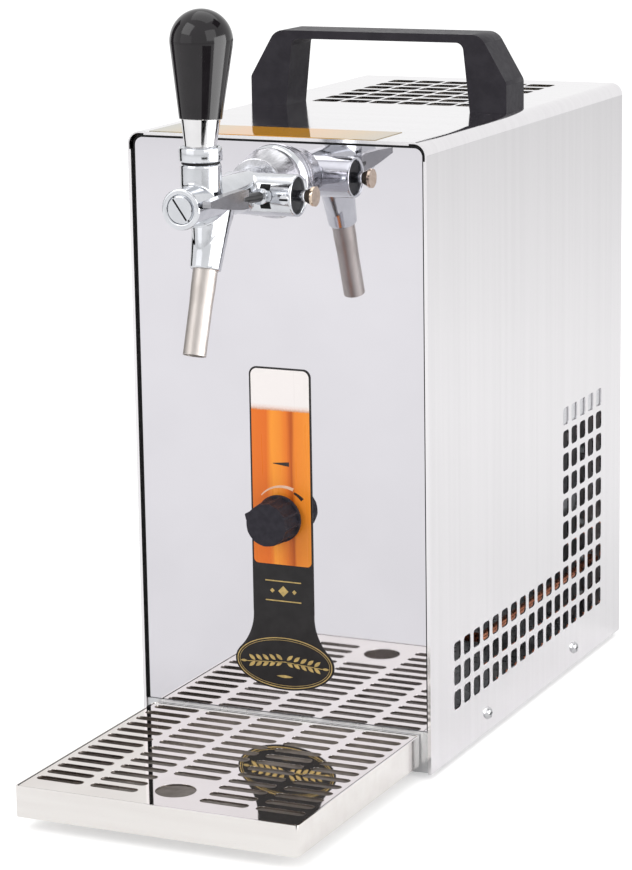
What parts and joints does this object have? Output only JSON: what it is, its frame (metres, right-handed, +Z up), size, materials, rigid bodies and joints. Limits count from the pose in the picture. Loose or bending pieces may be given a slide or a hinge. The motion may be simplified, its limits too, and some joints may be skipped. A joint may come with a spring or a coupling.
{
  "type": "mini keg beer dispenser",
  "caption": "Countertop dry-cooling beer dispenser with a compensator tap, a thermostat knob, a slotted drip tray and a bridge handle on top.",
  "frame": {"origin": "centre of the bounding box, on the surface that the feet stand on", "axes": "+Z up, -Y towards the drinker: the tap and the drip tray point along -Y, +X is to the right seen from the front"},
  "size_m": [0.1994, 0.5266, 0.4672],
  "materials": {
    "casing_steel": "fine brushed",
    "panel_steel": "polished",
    "sheet_steel": "plain sheet",
    "tray_steel": "brushed",
    "black_rubber": "matte",
    "label_film": "glossy printed film",
    "amber_film": "glossy tinted film",
    "handle_plastic": "satin",
    "screw_steel": "bright",
    "tap_chrome": "polished",
    "bright_steel": "turned",
    "grip_black": "polished",
    "lever_black": "satin",
    "tinted_brass": "polished",
    "white_plastic": "satin",
    "knob_black": "satin",
    "control_plastic": "matte",
    "foam": "cellular",
    "cast_aluminium": "cast",
    "fin_aluminium": "mill",
    "copper": "plain",
    "black_enamel": "gloss",
    "pump_plastic": "matte",
    "clear_hose": "satin",
    "red_rocker": "gloss",
    "green_rocker": "gloss"
  },
  "bodies": {
    "casing": {"outer_casing": "casing_steel", "front_panel": "panel_steel", "panel_gasket": "black_rubber", "front_label": "label_film", "top_label": "amber_film", "base_pan": "sheet_steel", "rubber_feet": "black_rubber", "casing_screws": "screw_steel", "rear_panel": "sheet_steel", "carry_handle": "handle_plastic", "tap_shank": "bright_steel", "tap_flange": "tap_chrome", "shank_washer": "bright_steel", "shank_nut": "bright_steel", "coupling_nut": "tap_chrome", "tap_body": "tap_chrome", "spout_nozzle": "tap_chrome", "plug_screw": "tap_chrome", "collar_seal": "black_rubber", "collar_nut": "tap_chrome", "compensator_bush": "lever_black", "thermostat_body": "control_plastic", "thermostat_nut": "bright_steel", "inner_shelf": "sheet_steel", "block_insulation": "foam", "insulation_lid": "foam", "cooling_block": "cast_aluminium", "beer_outlet_pipe": "bright_steel", "beer_inlet_pipe": "bright_steel", "compressor": "black_enamel", "compressor_mounts": "black_rubber", "condenser": "fin_aluminium", "fan_shroud": "sheet_steel", "fan_motor": "black_enamel", "filter_dryer": "copper", "refrigerant_pipes": "copper", "air_pump": "pump_plastic", "air_hose": "clear_hose", "air_outlet_fitting": "white_plastic", "beer_inlet_fitting": "white_plastic", "power_inlet": "control_plastic", "switch_bezels": "control_plastic"},
    "handle": {"tap_lever": "bright_steel", "handle_ferrule": "tap_chrome", "handle_grip": "grip_black"},
    "valve": {"valve_piston": "bright_steel", "valve_seal": "black_rubber"},
    "spindle": {"compensator_spindle": "tinted_brass", "compensator_lever": "lever_black"},
    "flow_cone": {"compensator_cone": "white_plastic"},
    "knob": {"thermostat_knob": "knob_black", "thermostat_shaft": "bright_steel"},
    "tray": {"drip_tray": "tray_steel", "tray_pads": "black_rubber"},
    "grille": {"drip_grille": "tray_steel"},
    "fan": {"fan_blade": "handle_plastic"},
    "beer_collet": {"inlet_collet": "lever_black"},
    "air_collet": {"outlet_collet": "lever_black"},
    "cooling_button": {"cooling_rocker": "green_rocker"},
    "pump_button": {"pump_rocker": "red_rocker"}
  },
  "joints": [
    {"name": "tap_lever_swing", "type": "hinge", "parent": "casing", "child": "handle", "pos_m": [0, -0.1852, 0.3905], "axis": [1, 0, 0], "range_deg": [0, 30]},
    {"name": "valve_slide", "type": "slide", "parent": "casing", "child": "valve", "axis": [0, 1, 0], "range_m": [0, 0.0053]},
    {"name": "compensator_turn", "type": "hinge", "parent": "casing", "child": "spindle", "pos_m": [0, -0.1286, 0.3567], "axis": [1, 0, 0], "range_deg": [-30, 35]},
    {"name": "flow_cone_slide", "type": "slide", "parent": "casing", "child": "flow_cone", "axis": [0, 1, 0], "range_m": [-0.0018, 0.0016]},
    {"name": "thermostat_turn", "type": "hinge", "parent": "casing", "child": "knob", "pos_m": [0, -0.0907, 0.154], "axis": [0, -1, 0], "range_deg": [-195, 75]},
    {"name": "tray_slide", "type": "slide", "parent": "casing", "child": "tray", "axis": [0, -1, 0], "range_m": [0, 0.19]},
    {"name": "grille_lift", "type": "slide", "parent": "tray", "child": "grille", "axis": [0, 0, 1], "range_m": [0, 0.06]},
    {"name": "fan_spin", "type": "hinge", "parent": "casing", "child": "fan", "pos_m": [0, 0.2073, 0.096], "axis": [0, 1, 0], "continuous": true},
    {"name": "beer_collet_press", "type": "slide", "parent": "casing", "child": "beer_collet", "axis": [0, -1, 0], "range_m": [0, 0.0015], "stiffness_N_per_m": 400},
    {"name": "air_collet_press", "type": "slide", "parent": "casing", "child": "air_collet", "axis": [0, -1, 0], "range_m": [0, 0.0015], "stiffness_N_per_m": 400},
    {"name": "cooling_rocker_tip", "type": "hinge", "parent": "casing", "child": "cooling_button", "pos_m": [0.004, 0.2478, 0.265], "axis": [-1, 0, 0], "range_deg": [0, 16]},
    {"name": "pump_rocker_tip", "type": "hinge", "parent": "casing", "child": "pump_button", "pos_m": [0.03, 0.2478, 0.265], "axis": [-1, 0, 0], "range_deg": [0, 16]}
  ],
  "couplings": [
    {"joint": "valve_slide", "follows": "tap_lever_swing", "m_per_rad": 0.0098},
    {"joint": "flow_cone_slide", "follows": "compensator_turn", "m_per_rad": -0.0029}
  ]
}
